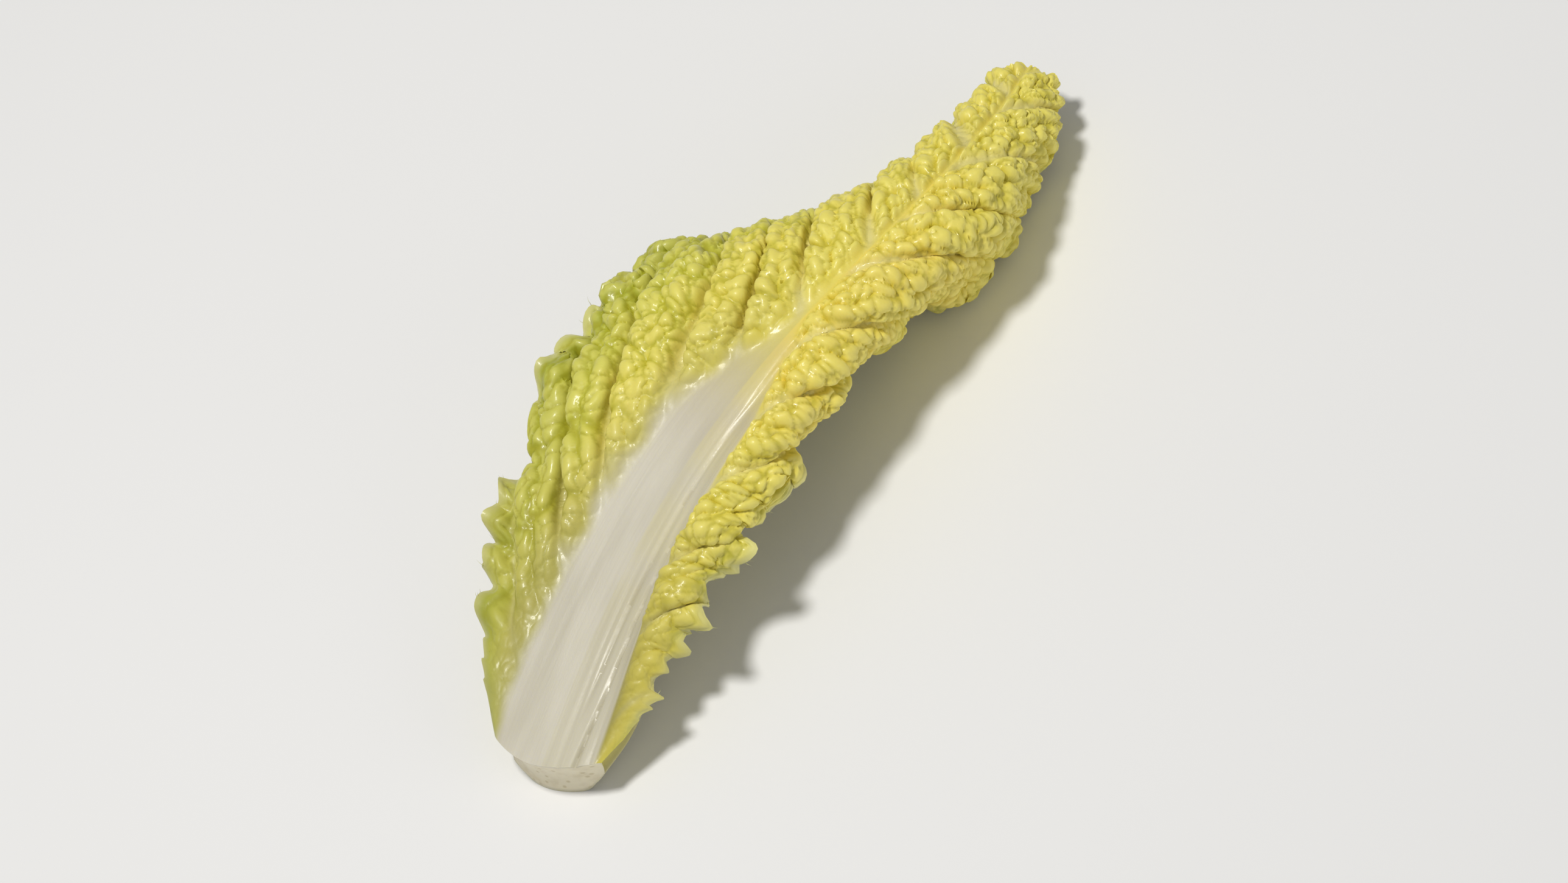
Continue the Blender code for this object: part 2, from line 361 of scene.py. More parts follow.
def places(s, v):
    """Points of the plain form for rows s and columns v, and where each lies on the leaf."""
    points, reach, y = plain_form(s, v)
    at = SimpleNamespace(y=y, reach=reach)
    at.left = (v < 0)[None, :] * np.ones(reach.shape)
    at.right = 1 - at.left
    at.above = ramp(y, *CLOSING)
    at.blade = np.maximum(reach + through(s, STATION, RIB_HALF)[:, None] * at.above, 0)
    at.wide = np.where(
        at.left > 0,
        through(s, STATION, LEFT_BLADE)[:, None],
        through(s, STATION, RIGHT_BLADE)[:, None],
    )
    at.margin = np.maximum(at.wide - np.maximum(reach, 0), 0)
    at.share = np.maximum(reach, 0) / at.wide

    # the side veins lie at whole numbers of q
    at.q = vein_number(y, at.blade, at.right)
    at.q_margin = vein_number(y, at.wide, at.right)
    at.vein_gap = np.abs(at.q - np.round(at.q)) * VEIN_STEP * math.sin(VEIN_ANGLE)

    # rows of blisters run along the side veins
    at.turn_x = y * math.sin(VEIN_ANGLE) - at.blade * math.cos(VEIN_ANGLE)
    at.turn_y = y * math.cos(VEIN_ANGLE) + at.blade * math.sin(VEIN_ANGLE) + 40 * at.right

    # across the midrib, from -1 to 1
    at.rib = through(np.clip(y / LENGTH, 0, 1), STATION, RIB_HALF)
    at.flat_x = np.where(at.left > 0, -1.0, 1.0) * (at.rib + reach)
    at.on_rib = 1 - ramp(reach, -1.6, 0.2)
    at.across = at.flat_x / np.maximum(at.rib, 1.0)

    # the thin wing beside the stalk, low on the leaf
    at.wing = (1 - ramp(y, 20, 46)) * ramp(y, 6, 14) * ramp(at.share, 0.02, 0.3)
    return points, at


def ruffled(p, at, sizes):
    """Lifts and lowers the margins in waves, and swings them along the leaf."""
    y = at.y
    normal = face_normals(p)
    along = unit(np.gradient(p, axis=0))
    deep = np.exp(-at.margin / 8.0) * ramp(at.share, 0.15, 0.9)
    swing = 2 * math.pi * y / RUFFLE_STEP + 1.1 * np.sin(y * 0.09 + 2.2 * at.right) + 1.9 * at.right
    size = RUFFLE_HEIGHT + 0.7 * np.sin(y * 0.13 + 0.7 + 2.0 * at.right)
    size = size * np.where(at.left > 0, ramp(at.wide, 0, 26), ramp(at.wide, 0, 12))
    size = size * ramp(y, 2, 22) * (1 - 0.65 * ramp(y, 80, 104))
    size = size * (1 - 0.5 * np.exp(-(((y - 61 + 12 * at.right) / 9) ** 2)))
    frill = sizes.frill * np.exp(-at.margin / 4.0) * ramp(at.share, 0.3, 1.0) * ramp(y, 4, 18)
    frill = frill * (1 - 0.5 * ramp(y, 104, 126)) * ramp(at.wide, 0, 8)
    frill = frill * (1 + 0.6 * at.left * ramp(y, 8, 20) * (1 - ramp(y, 44, 60)))
    small = np.sin(2 * math.pi * y / WAVE_STEP + 1.7 * np.sin(y * 0.23 + at.right))
    p = p + normal * (deep * np.sin(swing) * size + frill * small)[..., None]
    shift = 0.35 * size * (1 - ramp(y, 68, 90))
    return p + along * (deep * np.cos(swing) * shift)[..., None]


def toothed(p, at, sizes):
    """Pushes the margins out and in: lobes between the side veins, teeth and small nicks."""
    y = at.y
    out = unit(np.gradient(p, axis=1)) * np.where(at.left > 0, -1.0, 1.0)[..., None]
    lobe = np.abs(np.sin(math.pi * at.q_margin))
    bite = (y / TOOTH_STEP + 0.25 * np.sin(y * 0.21) + 0.4 * at.right) % 1.0
    nick = (y / NICK_STEP + 0.3 * np.sin(y * 0.5) + 0.2 * at.right) % 1.0
    fringe = 1 + (0.5 + 0.8 * at.right) * ramp(y, 6, 18) * (1 - ramp(y, 34, 58))
    fringe = fringe + 0.6 * at.left * ramp(y, 50, 62) * (1 - ramp(y, 88, 100))
    tooth = LOBE_DEPTH * (lobe**0.6 - 0.55)
    tooth = tooth + TOOTH_DEPTH * (ramp(bite, 0, 0.6) - ramp(bite, 0.6, 1) - 0.4)
    tooth = tooth + sizes.nick * fringe * (nick**1.3 - ramp(nick, 0.72, 1.0) - 0.25)
    tooth = tooth * ramp(y, 3, 16) * (1 - 0.9 * ramp(y, 104, 124))
    most = TOOTH_MOST + 0.4 * at.left + 0.9 * at.right * (1 - ramp(y, 50, 70))
    tooth = np.clip(tooth, -0.1 * at.wide, most)
    return p + out * (tooth * ramp(at.share, 0.6, 1.0))[..., None]


def pleated(p, at):
    """Swells the blade between the side veins, and rests what hangs lowest on the floor."""
    swell = ramp(at.blade, 0.5, 8) * (0.35 + 0.65 * ramp(at.y, 15, 50))
    swell = swell * (1 - 0.7 * ramp(at.y, 100, 124))
    between = np.abs(np.sin(math.pi * at.q))
    p = p + face_normals(p) * (PLEAT_HEIGHT * swell * (between**0.8 - 0.4))[..., None]
    low = p[..., 2] - FLOOR_GAP
    p[..., 2] = FLOOR_GAP + FLOOR_EASE * np.logaddexp(0, low / FLOOR_EASE)
    return p


def swells(at):
    """Height of the large swells of the blade."""
    nearest, _ = cells(at.turn_x / SWELL_SIZE, at.turn_y / (1.25 * SWELL_SIZE), 11)
    dome = np.clip(1 - (1.25 * nearest) ** 2, 0, 1)
    firm = ramp(at.blade, 0.4, 5) * (0.5 + 0.5 * ramp(at.y, 10, 45))
    return SWELL_HEIGHT * dome * firm


def vein_strength(at):
    """How strongly a side vein shows: 1 on a strong vein, 0 away from it."""
    width = 0.4 + 0.9 * (1 - ramp(at.share, 0.0, 0.7)) * ramp(at.y, 10, 40) * (1 - 0.6 * at.above)
    vein = np.exp(-((at.vein_gap / width) ** 2)) * ramp(at.blade, -0.5, 1.0)
    return vein * (1 - 0.8 * ramp(at.share, 0.55, 1.0))


def blisters(at, vein, sizes):
    """Height of the small blisters, and how far each place is a crease or a blister's top."""
    y = at.y
    x_at = at.turn_x
    y_at = at.turn_y
    soft = 2.6 - 1.8 * at.above + 3.2 * at.left * (1 - ramp(y, 74, 96))
    tight = ramp(at.blade, 0.2 - 0.2 * at.above, soft) * (0.3 + 0.7 * ramp(y, 12, 36))
    size = sizes.blister * (1 - 0.14 * at.right)
    lump, deep_crease = cobbles(x_at, y_at, size, 1.9, 23)
    cobble, crease = cobbles(x_at + 3.1, y_at, 0.76 * size, 1.35, 37)
    tiny, _ = cobbles(x_at + 7.7, y_at, 0.3 * size, 1.1, 51)

    # low on the leaf the blisters give way to long smooth puckers
    pucker, long_crease = cobbles(x_at, y_at, PUCKER_SIZE, 2.7, 83)
    low = at.left * (1 - ramp(y, 38, 62)) * ramp(at.blade, 2, 6)
    low = low + 0.8 * at.right * (1 - ramp(y, 26, 50))
    lump = lump + (1.2 * pucker - lump) * low
    deep_crease = deep_crease + (long_crease - deep_crease) * low

    edge = np.maximum(ramp(at.share, 0.5, 0.9), ramp(y, 92, 116))
    some = 0.62 + 0.25 * ramp(np.sin(x_at * 0.71 + 2) * np.sin(y_at * 0.53), -0.3, 0.5)
    some = some * (1 - 0.5 * low)
    grain = 0.22 * tiny * edge * (1 - 0.7 * low)
    relief = sizes.blister_height * (0.7 * lump + some * (1 + 0.3 * edge) * cobble + grain)
    column = np.abs(np.sin(2 * math.pi * at.q + 0.5 * np.sin(y * 0.31)))
    relief = (relief + COLUMN_HEIGHT * (column**0.7 - 0.6)) * tight * (1 - 0.85 * vein)
    relief = relief * (0.2 + 0.8 * ramp(at.margin, 0.3, 3.2))
    height = relief - 0.35 * sizes.blister_height * tight
    return height, np.maximum(deep_crease, 0.9 * crease) * tight, (lump + 0.3 * cobble) * tight


def valleys(at):
    """Deep folds at the side veins, deeper on the left."""
    valley = np.exp(-((at.vein_gap / VALLEY_WIDTH) ** 2)) * ramp(at.blade, 3.0, 8.0)
    return (0.4 + 0.75 * at.left) * (valley * (1 - ramp(at.y, 92, 112)))


def ridges(at):
    """The thin ridge that each side vein makes in its fold."""
    ridge = RIDGE_HEIGHT * np.exp(-((at.vein_gap / 0.4) ** 2))
    return ridge * ramp(at.blade, 0.5, 3.0) * (1 - at.share)


def grooves(at):
    """Long grooves on the midrib's face, deeper on its right half; below 0 is down."""
    groove = 0.025 * np.sin(at.across * 9.0 + 0.4 * np.sin(at.y * 0.06)) * ramp(at.rib, 1.5, 5.0)
    for middle, depth, start, end in GROOVES:
        bend = (at.across - middle - 0.04 * np.sin(at.y * 0.07 + 9 * middle)) * at.rib
        run = ramp(at.y, start, start + 12) * (1 - ramp(at.y, end - 16, end))
        groove = groove - depth * run * np.exp(-((bend / GROOVE_WIDTH) ** 2))
    return groove


def keel(at):
    """How far the stalk stands out below the blade, with fine ribs along it."""
    deepest = through(np.clip(at.y / LENGTH, 0, 1), STATION, KEEL)
    inside = np.clip((at.reach + at.rib) / (at.rib * 1.25 + 1.2), 0, 1)
    ribs = 0.10 * np.cos(at.across * 13.0 + 0.3 * np.sin(at.y * 0.08)) * ramp(at.rib, 1.5, 5.0)
    return deepest * (1 - inside**2.8) + ribs * at.on_rib


def lower_face(p, normal, plain, height, at, sizes):
    """The lower face: its net of veins stands out, and the blisters are shallow hollows."""
    y = at.y
    thin = 0.34 + 0.66 * ramp(at.margin, 0.0, 3.4)
    thin = np.where(y < 2.5, np.maximum(thin, 1 - ramp(y, 0.0, 2.5)), thin)
    net = UNDER_RIB_HEIGHT * np.exp(-((at.vein_gap / 1.3) ** 2)) * ramp(at.reach, 0.5, 3.0)
    net = net * (1 - 0.75 * at.share)
    below = sizes.thickness * thin + net - 0.75 * around(height, 2, np.mean)
    below = np.maximum(below, 0.4 - around(height, 2, np.min))

    # towards the margin and the cut it follows the upper face
    inner = ramp(at.margin, 0.2, 3.2) * ramp(y, 2, 6)
    below = below * inner + (sizes.thickness * thin - 0.95 * height) * (1 - inner)
    calm = inner[..., None]
    bottom = p + (around(p, 2, np.mean) - p) * calm
    down = unit(normal + (around(normal, 2, np.mean) - normal) * calm)
    bottom = bottom - down * below[..., None]
    bottom = bottom - plain * keel(at)[..., None]
    bottom[..., 2] = np.maximum(bottom[..., 2], 0.0)
    return bottom


def midrib_white(at):
    """How white each place is: 1 on the midrib, fading out along the side veins."""
    fade = 1.8 + 2.2 * ramp(at.y, 24, 42) - 2.4 * ramp(at.y, 46, 80)
    fade = 0.8 + at.left * fade * (0.8 + 0.2 * np.sin(at.y * 0.9))
    strand = np.exp(-((at.vein_gap / 1.5) ** 2)) * ramp(at.y, 20, 34) * (1 - 0.75 * at.above)
    fade = fade + (1.8 * at.left + 0.6) * strand
    return (1 - ramp(at.blade, -0.3, fade)) * (1 - 0.85 * at.above)


def leaf_faces(s, v, sizes):
    """Upper and lower face of the leaf for rows s and columns v, and what lies where on it."""
    p, at = places(s, v)
    plain = face_normals(p)
    p = ruffled(p, at, sizes)
    p = toothed(p, at, sizes)
    p = pleated(p, at)
    normal = face_normals(p)

    vein = vein_strength(at)
    blister, crease, cobble = blisters(at, vein, sizes)
    dents, _ = cobbles(at.turn_x + 1.7, at.turn_y, DENT_SIZE, 1.5, 67)
    groove = grooves(at)
    height = swells(at) + blister - valleys(at)
    height = height + DENT_HEIGHT * at.wing * dents + ridges(at) + groove * at.on_rib
    # the margin rounds over
    height = height - 0.2 * np.exp(-((at.margin / 0.45) ** 2)) * ramp(at.y, 1.0, 4.0)

    top = p + normal * height[..., None]
    bottom = lower_face(p, normal, plain, height, at, sizes)
    top[..., 2] = np.maximum(top[..., 2], bottom[..., 2] + 0.3)
    marks = {
        "share": at.share,
        "reach": at.reach,
        "side": at.right,
        "wing": at.wing,
        "length_at": at.y / LENGTH,
        "vein": vein,
        "crease": crease,
        "cobble": cobble,
        "on_rib": midrib_white(at),
        "groove": np.clip(-groove * 3.0, 0, 1) * at.on_rib,
        "rim": (1 - ramp(at.margin, 0.0, 1.8)) * ramp(at.y, 4, 12),
        "flat": np.stack([at.flat_x, at.y, 0 * at.y], -1),
    }
    return top, bottom, marks


def fine_leaf(sizes):
    """Both faces of the leaf on the fine grid of the upper one."""
    s = np.linspace(0, 1, FINE * sizes.rows + 1)
    return leaf_faces(s, columns(FINE * sizes.columns_left, FINE * sizes.columns_right), sizes)


def split(index, middle=None):
    """Splits a grid of vertices into triangles.

    The diagonals alternate, or run outward and forward on both sides of a middle column.
    """
    a = index[:-1, :-1].ravel()
    b = index[:-1, 1:].ravel()
    c = index[1:, 1:].ravel()
    d = index[1:, :-1].ravel()
    i, j = np.divmod(np.arange(a.size), index.shape[1] - 1)
    odd = ((i + j) % 2 == 1 if middle is None else j >= middle)[:, None]
    one = np.where(odd, np.stack([a, b, c], 1), np.stack([a, b, d], 1))
    two = np.where(odd, np.stack([a, c, d], 1), np.stack([b, c, d], 1))
    return np.concatenate([one, two])


def ring(index):
    """The vertices round a grid, once round."""
    return np.concatenate([index[0, :], index[1:, -1], index[-1, -2::-1], index[-2:0:-1, 0]])


def cut_points(high, low):
    """Points of the cut face between its upper and lower edge, hollowed a little."""
    k = np.arange(1, CUT_ROWS)[:, None] / CUT_ROWS
    cut = high[None] * (1 - k[..., None]) + low[None] * k[..., None]
    tall = np.minimum(np.linalg.norm(high - low, axis=-1), CUT_MOST)
    cut[..., 1] += CUT_HOLLOW * tall[None, :] * np.sin(math.pi * k)
    return cut


def leaf_triangles(fine, coarse, cap, middle):
    """Triangles of the upper face, the lower face, the margin between them and the cut face."""
    upper = ring(fine)
    u0, u1, u2, u3 = (np.roll(upper, -i)[::FINE] for i in range(FINE + 1))
    low_0 = ring(coarse)
    low_1 = np.roll(low_0, -1)
    base = coarse.shape[1] - 1
    low_0[:base] = cap[0, :-1]
    low_1[:base] = cap[0, 1:]
    rim = [(u0, low_0, u1), (u1, low_0, low_1), (u1, low_1, u2), (u2, low_1, u3)]
    rows = np.concatenate([cap, coarse[:1]])
    corners = (rows[:-1, :-1], rows[1:, :-1], rows[1:, 1:], rows[:-1, 1:])
    a, b, c, d = (row.ravel() for row in corners)
    rim += [(a, b, c), (a, c, d)]
    faces = [split(fine), split(coarse, middle)[:, ::-1]]
    faces = np.concatenate(faces + [np.stack(corner, 1) for corner in rim])
    a, b, c = faces.T
    return faces[(a != b) & (b != c) & (c != a)]


def put_mark(mesh, key, values):
    """Keeps a number or a vector for each vertex, for the material."""
    if values.size == len(mesh.vertices):
        attribute = mesh.attributes.new(key, "FLOAT", "POINT")
        attribute.data.foreach_set("value", values)
    else:
        attribute = mesh.attributes.new(key, "FLOAT_VECTOR", "POINT")
        attribute.data.foreach_set("vector", values)


def leaf_mesh(name, top, bottom, marks):
    """One closed mesh: a fine upper face, a coarser lower face and the cut face."""
    bottom = bottom[::FINE, ::FINE]
    inner = slice(FINE, -FINE, FINE)
    cut = cut_points(top[0, inner], bottom[0, 1:-1])
    count = top.shape[0] * top.shape[1]
    cut_start = count + bottom.shape[0] * bottom.shape[1]
    fine = np.arange(count).reshape(top.shape[:2])
    coarse = np.arange(count, cut_start).reshape(bottom.shape[:2])
    cap = np.empty((CUT_ROWS - 1, bottom.shape[1]), int)
    cap[:, 1:-1] = cut_start + np.arange(cut.size // 3).reshape(cut.shape[:2])
    cap[:, 0] = coarse[0, 0]
    cap[:, -1] = coarse[0, -1]
    middle = np.argmax(marks["side"][0, ::FINE] > 0.5) - 1
    faces = leaf_triangles(fine, coarse, cap, middle)

    verts = np.concatenate([part.reshape(-1, 3) for part in (top, bottom, cut)])
    verts = (verts + np.array(FORM_SHIFT)) / 1000.0
    mesh = bpy.data.meshes.new(name)
    mesh.vertices.add(len(verts))
    mesh.vertices.foreach_set("co", verts.ravel())
    mesh.loops.add(faces.size)
    mesh.loops.foreach_set("vertex_index", faces.ravel().astype(np.int32))
    mesh.polygons.add(len(faces))
    mesh.polygons.foreach_set("loop_start", np.arange(0, faces.size, 3, dtype=np.int32))
    mesh.update(calc_edges=True)
    mesh.validate()
    mesh.shade_smooth()
    mesh.set_sharp_from_angle(angle=SHARP_ANGLE)
    for key, value in marks.items():
        side = np.repeat(value[:1, inner], CUT_ROWS - 1, axis=0)
        parts = (value, value[::FINE, ::FINE], side)
        put_mark(mesh, key, np.concatenate([part.ravel() for part in parts]))
    number = np.arange(len(verts))
    put_mark(mesh, "under", ((number >= count) & (number < cut_start)).astype(float))
    put_mark(mesh, "cut", (number >= cut_start).astype(float))
    return mesh


def hair_mesh(name, top, marks, sizes):
    """Short stiff hairs on the margins: thin three-sided cones, each bent once."""
    rng = np.random.default_rng(71)
    rows, width = top.shape[:2]
    normals = face_normals(top)
    sideways = unit(np.gradient(top, axis=1))
    y = marks["flat"][..., 1]
    verts = []
    faces = []
    for number in range(sizes.hairs):
        left = number % 2 == 0
        i = int(rng.integers(int(0.1 * rows), int(0.97 * rows)))
        j = int(rng.integers(0, 5))
        j = j if left else width - 1 - j
        out = sideways[i, j] * (-1.0 if left else 1.0)
        along = unit(top[i, j] - top[i - 2, j])
        aim = unit(out + normals[i, j] * rng.uniform(-0.4, 0.6) + along * rng.uniform(-0.2, 0.7))
        length = sizes.hair_length * rng.uniform(0.5, 1.0) * (0.6 if y[i, j] > 90 else 1.0)
        foot = top[i, j] - normals[i, j] * 0.1 - aim * 0.1
        bend = unit(aim + along * 0.5 + np.array((0.0, 0.0, -0.3)))
        middle = foot + aim * length * 0.55
        tip = middle + bend * length * 0.45
        across = unit(np.cross(aim, normals[i, j] + 0.01))
        other = np.cross(aim, across)
        start = len(verts)
        for centre, radius in zip((foot, middle), HAIR_RADIUS):
            for turn in (0.0, 2.1, 4.2):
                verts.append(centre + radius * (math.cos(turn) * across + math.sin(turn) * other))
        verts.append(tip)
        faces.append((start + 2, start + 1, start))
        for k in range(3):
            m = (k + 1) % 3
            faces.append((start + k, start + m, start + 3 + m, start + 3 + k))
            faces.append((start + 3 + k, start + 3 + m, start + 6))
    verts = (np.array(verts) + np.array(FORM_SHIFT)) / 1000.0
    mesh = bpy.data.meshes.new(name)
    mesh.from_pydata(verts.tolist(), [], faces)
    mesh.shade_smooth()
    return mesh


class Nodes:
    """Short ways to add nodes to a material."""

    def __init__(self, name):
        """Starts a material with the usual shader."""
        self.material = bpy.data.materials.new(name)
        self.material.use_nodes = True
        self.tree = self.material.node_tree
        self.shader = self.tree.nodes["Principled BSDF"]

    def put(self, kind, **values):
        """Adds a node."""
        node = self.tree.nodes.new(kind)
        for key, value in values.items():
            setattr(node, key, value)
        return node

    def link(self, out, into):
        """Links two sockets."""
        self.tree.links.new(out, into)

    def feed(self, value, socket):
        """Gives a socket a number, a colour or another node's output."""
        if hasattr(value, "is_output"):
            self.link(value, socket)
        else:
            socket.default_value = value

    def mark(self, name, part="Fac"):
        """Reads what the mesh keeps for each vertex."""
        return self.put("ShaderNodeAttribute", attribute_name=name).outputs[part]

    def math(self, operation, a, b=0.0, c=0.0, clamp=False):
        """Reckons with up to three values."""
        node = self.put("ShaderNodeMath", operation=operation, use_clamp=clamp)
        self.feed(a, node.inputs[0])
        self.feed(b, node.inputs[1])
        self.feed(c, node.inputs[2])
        return node.outputs[0]

    def mix(self, amount, a, b):
        """Mixes two colours."""
        node = self.put("ShaderNodeMix", data_type="RGBA")
        self.feed(amount, node.inputs[0])
        self.feed(a, node.inputs[6])
        self.feed(b, node.inputs[7])
        return node.outputs[2]

    def span(self, value, low, high, to_low=0.0, to_high=1.0):
        """Maps a range smoothly to another, flat beyond its ends."""
        node = self.put("ShaderNodeMapRange", interpolation_type="SMOOTHSTEP")
        self.feed(value, node.inputs[0])
        for socket, number in zip(node.inputs[1:5], (low, high, to_low, to_high)):
            socket.default_value = number
        return node.outputs[0]

    def noise(self, place, scale, detail=3.0, rough=0.5):
        """Cloudy noise from 0 to 1."""
        node = self.put("ShaderNodeTexNoise")
        self.link(place, node.inputs["Vector"])
        node.inputs["Scale"].default_value = scale
        node.inputs["Detail"].default_value = detail
        node.inputs["Roughness"].default_value = rough
        return node.outputs["Fac"]

    def stretch(self, place, scale):
        """Scales a place, to stretch a pattern."""
        node = self.put("ShaderNodeMapping")
        self.link(place, node.inputs["Vector"])
        node.inputs["Scale"].default_value = scale
        return node.outputs["Vector"]

    def bump(self, height, strength, distance, under=None):
        """A bump, laid on another if given."""
        node = self.put("ShaderNodeBump")
        node.inputs["Strength"].default_value = strength
        node.inputs["Distance"].default_value = distance
        self.link(height, node.inputs["Height"])
        if under is not None:
            self.link(under, node.inputs["Normal"])
        return node.outputs["Normal"]


def blade_colour(n, colours, patches, specks):
    """Yellow near the midrib and on the right, green towards the margins and low on the left."""
    share = n.mark("share")
    side = n.mark("side")
    crease = n.mark("crease")
    length_at = n.mark("length_at")
    green = n.math("MULTIPLY_ADD", share, 1.1, n.math("MULTIPLY_ADD", patches, 0.8, -0.65))
    green = n.math("MULTIPLY_ADD", side, -0.66, green)
    green = n.math("ADD", green, n.span(length_at, 0.15, 0.75, 0.10, 0.0))
    # creases lean greener, as part of the painted shade in them
    green = n.math("MULTIPLY_ADD", crease, 0.22, green)
    green = n.math("MULTIPLY_ADD", specks, 0.05, n.math("SUBTRACT", green, 0.025), clamp=True)
    middle = n.span(length_at, 0.68, 0.85, 1.0, 0.0)
    middle = n.math("MULTIPLY", n.span(length_at, 0.35, 0.5), middle)
    gold = n.math("MULTIPLY", n.math("MULTIPLY", side, middle), n.span(patches, 0.3, 0.6))
    blade = n.mix(gold, colours.yellow, colours.gold)
    blade = n.mix(n.span(green, 0.0, 0.55), blade, colours.lime)
    blade = n.mix(n.span(green, 0.45, 1.0), blade, colours.green)
    # painted highlight on the blister tops, painted shade in the creases, pale side veins and thin
    # pale rims
    blade = n.mix(n.span(n.mark("cobble"), 0.3, 1.1, 0.0, 0.35), blade, colours.blister_top_highlight)
    blade = n.mix(n.math("MULTIPLY", crease, 0.65), blade, colours.crease_shade)
    blade = n.mix(n.math("MULTIPLY", n.mark("vein"), 0.55), blade, colours.vein)
    pale = n.math("MULTIPLY", n.mark("rim"), n.span(length_at, 0.35, 0.9, 0.6, 0.15))
    blade = n.mix(pale, blade, colours.rim)
    # the thin wing beside the stalk
    low = n.span(length_at, 0.08, 0.38, 1.0, 0.0)
    near = n.span(share, 0.0, 0.9, 0.85, 0.28)
    blade = n.mix(n.math("MULTIPLY", low, near), blade, colours.wing)
    # beside the midrib's left edge the blade is pale green
    beside = n.span(n.mark("reach"), 1.0, 9.0, 0.6, 0.0)
    beside = n.math("MULTIPLY", beside, n.span(side, 0.0, 1.0, 1.0, 0.0))
    beside = n.math("MULTIPLY", beside, n.span(length_at, 0.35, 0.62, 1.0, 0.0))
    return n.mix(beside, blade, colours.pale_green)


def stalk_colour(n, colours, flat, groove):
    """White midrib with darker fibres and painted shade in its grooves, greener where it runs out
    in the blade.
    """
    fibres = n.noise(n.stretch(flat, (2.6, 0.06, 1.0)), 1.0, 4.0, 0.6)
    fibre_tone_and_groove_shade = n.span(fibres, 0.35, 0.75, 0.0, 0.22)
    # painted shade darkens the midrib's grooves
    fibre_tone_and_groove_shade = n.math("MULTIPLY_ADD", groove, 0.5, fibre_tone_and_groove_shade, clamp=True)
    stalk = n.mix(fibre_tone_and_groove_shade, colours.stalk, colours.stalk_fibre_and_groove_shade)
    broad = n.noise(n.stretch(flat, (0.16, 0.035, 1.0)), 1.0, 2.0, 0.5)
    stalk = n.mix(n.span(broad, 0.4, 0.65, 0.0, 0.45), stalk, colours.stalk_fibre_and_groove_shade)
    return n.mix(n.span(n.mark("length_at"), 0.3, 0.6), stalk, colours.stalk_top)


def cut_colour(n, colours, level):
    """The cut face: pale and damp, with darker dots where the strands end."""
    dots = n.put("ShaderNodeTexVoronoi", voronoi_dimensions="2D")
    n.link(level, dots.inputs["Vector"])
    dots.inputs["Scale"].default_value = 470.0
    dots.inputs["Randomness"].default_value = 0.9
    strands = n.span(dots.outputs["Distance"], 0.05, 0.19, 1.0, 0.0)
    dry = n.noise(level, 300.0, 3.0, 0.6)
    face = n.mix(n.span(dry, 0.45, 0.75, 0.0, 0.4), colours.cut, colours.cut_dots)
    return n.mix(n.math("MULTIPLY", strands, 0.55), face, colours.cut_dots)


def skin_bump(n, flat, level, on_rib, cut):
    """Beads finer than the blisters, streaks on the midrib, grain on the cut face, and pores."""
    beads = n.put("ShaderNodeTexVoronoi", feature="DISTANCE_TO_EDGE")
    n.link(n.stretch(flat, (0.75, 0.6, 1.0)), beads.inputs["Vector"])
    beads.inputs["Scale"].default_value = 1.0
    bead = n.span(beads.outputs["Distance"], 0.0, 0.28)
    grain = n.noise(flat, 3.2, 3.0, 0.6)
    streaks = n.noise(n.stretch(flat, (2.4, 0.05, 1.0)), 1.0, 3.0, 0.6)
    sparkle = n.noise(n.stretch(flat, (5.0, 1.6, 1.0)), 1.0, 2.0, 0.7)
    rib_skin = n.math("MULTIPLY_ADD", streaks, 0.35, n.math("MULTIPLY", sparkle, 0.5))
    blade_skin = n.math("MULTIPLY_ADD", bead, 0.4, n.math("MULTIPLY", grain, 0.4))
    fine = n.mix(cut, n.mix(on_rib, blade_skin, rib_skin), n.noise(level, 1500.0, 2.0, 0.6))
    pores = n.noise(flat, 9.0, 2.0, 0.7)
    return n.bump(pores, 0.15, 0.00005, n.bump(fine, 0.5, 0.0001))


def dampness(n, patches, on_rib, under, groove):
    """A thin film of water on patches of the blade, with little underneath and on the midrib."""
    damp = n.span(patches, 0.35, 0.75, 0.14, 0.30)
    damp = n.math("MULTIPLY_ADD", n.mark("wing"), -0.06, damp)
    damp = n.math("MULTIPLY", damp, n.math("MULTIPLY_ADD", on_rib, -1.0, 1.0))
    damp = n.math("MULTIPLY", damp, n.math("MULTIPLY_ADD", under, -0.75, 1.0))
    return n.math("MULTIPLY_ADD", groove, 0.12, damp, clamp=True)


